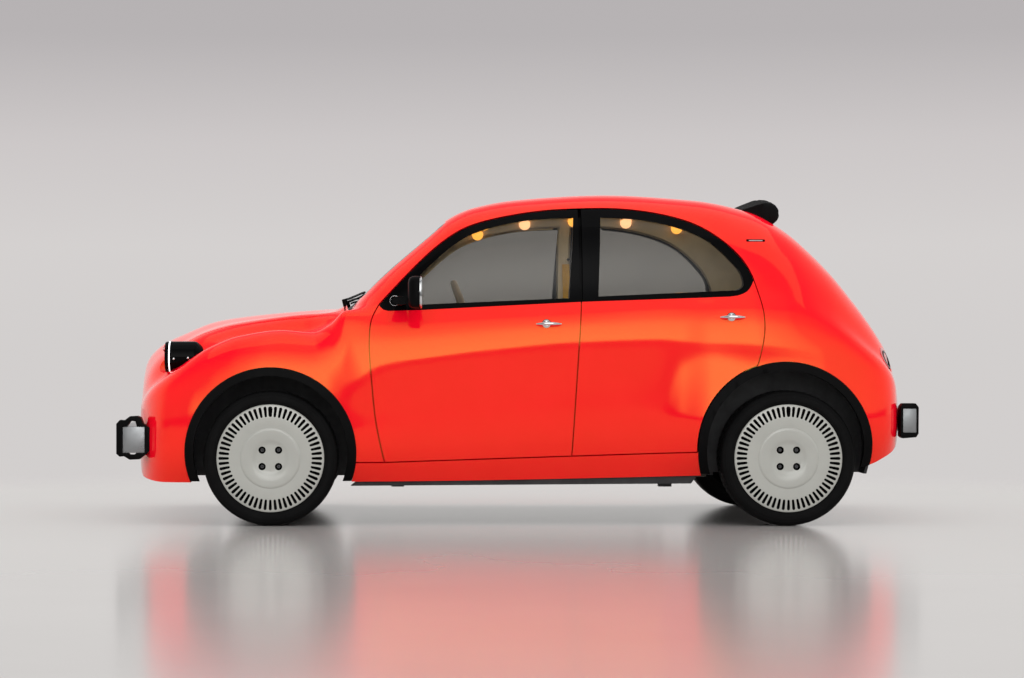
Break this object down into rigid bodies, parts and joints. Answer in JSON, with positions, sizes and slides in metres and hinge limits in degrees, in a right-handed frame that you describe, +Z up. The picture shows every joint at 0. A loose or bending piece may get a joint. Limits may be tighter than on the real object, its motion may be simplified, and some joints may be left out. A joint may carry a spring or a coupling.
{
  "type": "four-door hatchback car",
  "caption": "Small four-door hatchback with a roll-back canvas roof, opening doors, bonnet and tailgate, steered front wheels and a furnished cabin.",
  "frame": {"origin": "on the ground, midway between the bumper faces and midway between the sides", "axes": "+Z up, the front faces -Y, the car's left side is at +X"},
  "size_m": [1.86, 3.76, 1.558],
  "materials": {
    "paint": "high gloss red-orange paint",
    "glass": "lightly tinted clear glass",
    "black_plastic": "satin black plastic",
    "gloss_black": "gloss black",
    "bumper_metal": "satin anodised",
    "tyre": "black rubber",
    "wheel_paint": "gloss pale grey",
    "steel": "dark coated steel",
    "underbody": "black coated underbody",
    "battery_case": "bare aluminium",
    "lamp": "gloss black housing with a clear lens",
    "tail_lamp": "red lens",
    "canvas": "black canvas",
    "seat_fabric": "cream woven fabric",
    "trim": "cream moulded trim",
    "steering_trim": "cream moulded rim"
  },
  "bodies": {
    "root": {"front_fender_left": "paint", "front_fender_right": "paint", "body_side_left": "paint", "body_side_right": "paint", "nose_panel": "paint", "rear_panel": "paint", "roof_frame": "paint", "windshield": "glass", "cowl": "black_plastic", "wheel_arch_trims": "black_plastic", "bumper_guards": "black_plastic", "front_bumper": "bumper_metal", "rear_bumper": "bumper_metal", "front_subframe": "steel", "rear_axle": "steel", "motor": "steel", "floor_pan": "underbody", "battery_pack": "battery_case", "headlamps": "lamp", "tail_lamps": "tail_lamp", "roof_canvas": "canvas", "front_seats": "seat_fabric", "rear_seat": "seat_fabric", "dashboard": "trim"},
    "front_door_left": {"front_door_left": "paint", "front_door_glass_left": "glass", "mirror_left": "gloss_black"},
    "front_door_right": {"front_door_right": "paint", "front_door_glass_right": "glass", "mirror_right": "gloss_black"},
    "rear_door_left": {"rear_door_left": "paint", "rear_door_glass_left": "glass"},
    "rear_door_right": {"rear_door_right": "paint", "rear_door_glass_right": "glass"},
    "bonnet": {"bonnet": "paint"},
    "tailgate": {"tailgate": "paint", "tailgate_glass": "glass"},
    "knuckle_left": {"knuckle_front_left": "steel"},
    "knuckle_right": {"knuckle_front_right": "steel"},
    "front_wheel_left": {"front_wheel_left": "wheel_paint", "front_tyre_left": "tyre"},
    "front_wheel_right": {"front_wheel_right": "wheel_paint", "front_tyre_right": "tyre"},
    "rear_wheel_left": {"rear_wheel_left": "wheel_paint", "rear_tyre_left": "tyre"},
    "rear_wheel_right": {"rear_wheel_right": "wheel_paint", "rear_tyre_right": "tyre"},
    "steering_wheel": {"steering_wheel": "steering_trim"}
  },
  "joints": [
    {"name": "steer_left", "type": "hinge", "parent": "root", "child": "knuckle_left", "pos_m": [0.7, -1.15, 0.314], "axis": [0, 0, 1], "range_deg": [-30, 30]},
    {"name": "steer_right", "type": "hinge", "parent": "root", "child": "knuckle_right", "pos_m": [-0.7, -1.15, 0.314], "axis": [0, 0, 1], "range_deg": [-30, 30]},
    {"name": "steering_turn", "type": "hinge", "parent": "root", "child": "steering_wheel", "pos_m": [0.37, -0.23, 0.967], "axis": [0, 0.9397, 0.342], "range_deg": [-451, 451]},
    {"name": "front_left_roll", "type": "hinge", "parent": "knuckle_left", "child": "front_wheel_left", "pos_m": [0.744, -1.15, 0.314], "axis": [1, 0, 0], "continuous": true},
    {"name": "front_right_roll", "type": "hinge", "parent": "knuckle_right", "child": "front_wheel_right", "pos_m": [-0.744, -1.15, 0.314], "axis": [1, 0, 0], "continuous": true},
    {"name": "rear_left_roll", "type": "hinge", "parent": "root", "child": "rear_wheel_left", "pos_m": [0.744, 1.25, 0.314], "axis": [1, 0, 0], "continuous": true},
    {"name": "rear_right_roll", "type": "hinge", "parent": "root", "child": "rear_wheel_right", "pos_m": [-0.744, 1.25, 0.314], "axis": [1, 0, 0], "continuous": true},
    {"name": "front_door_left_swing", "type": "hinge", "parent": "root", "child": "front_door_left", "pos_m": [0.823, -0.69, 0.6], "axis": [0, 0, -1], "range_deg": [0, 65]},
    {"name": "front_door_right_swing", "type": "hinge", "parent": "root", "child": "front_door_right", "pos_m": [-0.823, -0.69, 0.6], "axis": [0, 0, 1], "range_deg": [0, 65]},
    {"name": "rear_door_left_swing", "type": "hinge", "parent": "root", "child": "rear_door_left", "pos_m": [0.8085, 0.252, 0.6], "axis": [0, 0, -1], "range_deg": [0, 65]},
    {"name": "rear_door_right_swing", "type": "hinge", "parent": "root", "child": "rear_door_right", "pos_m": [-0.8085, 0.252, 0.6], "axis": [0, 0, 1], "range_deg": [0, 65]},
    {"name": "bonnet_lift", "type": "hinge", "parent": "root", "child": "bonnet", "pos_m": [0, -0.814, 1.027], "axis": [-1, 0, 0], "range_deg": [0, 50]},
    {"name": "tailgate_lift", "type": "hinge", "parent": "root", "child": "tailgate", "pos_m": [0, 1.294, 1.424], "axis": [1, 0, 0], "range_deg": [0, 75]}
  ],
  "couplings": [
    {"joint": "steer_right", "follows": "steer_left", "ratio": 1},
    {"joint": "steering_turn", "follows": "steer_left", "ratio": 15}
  ]
}
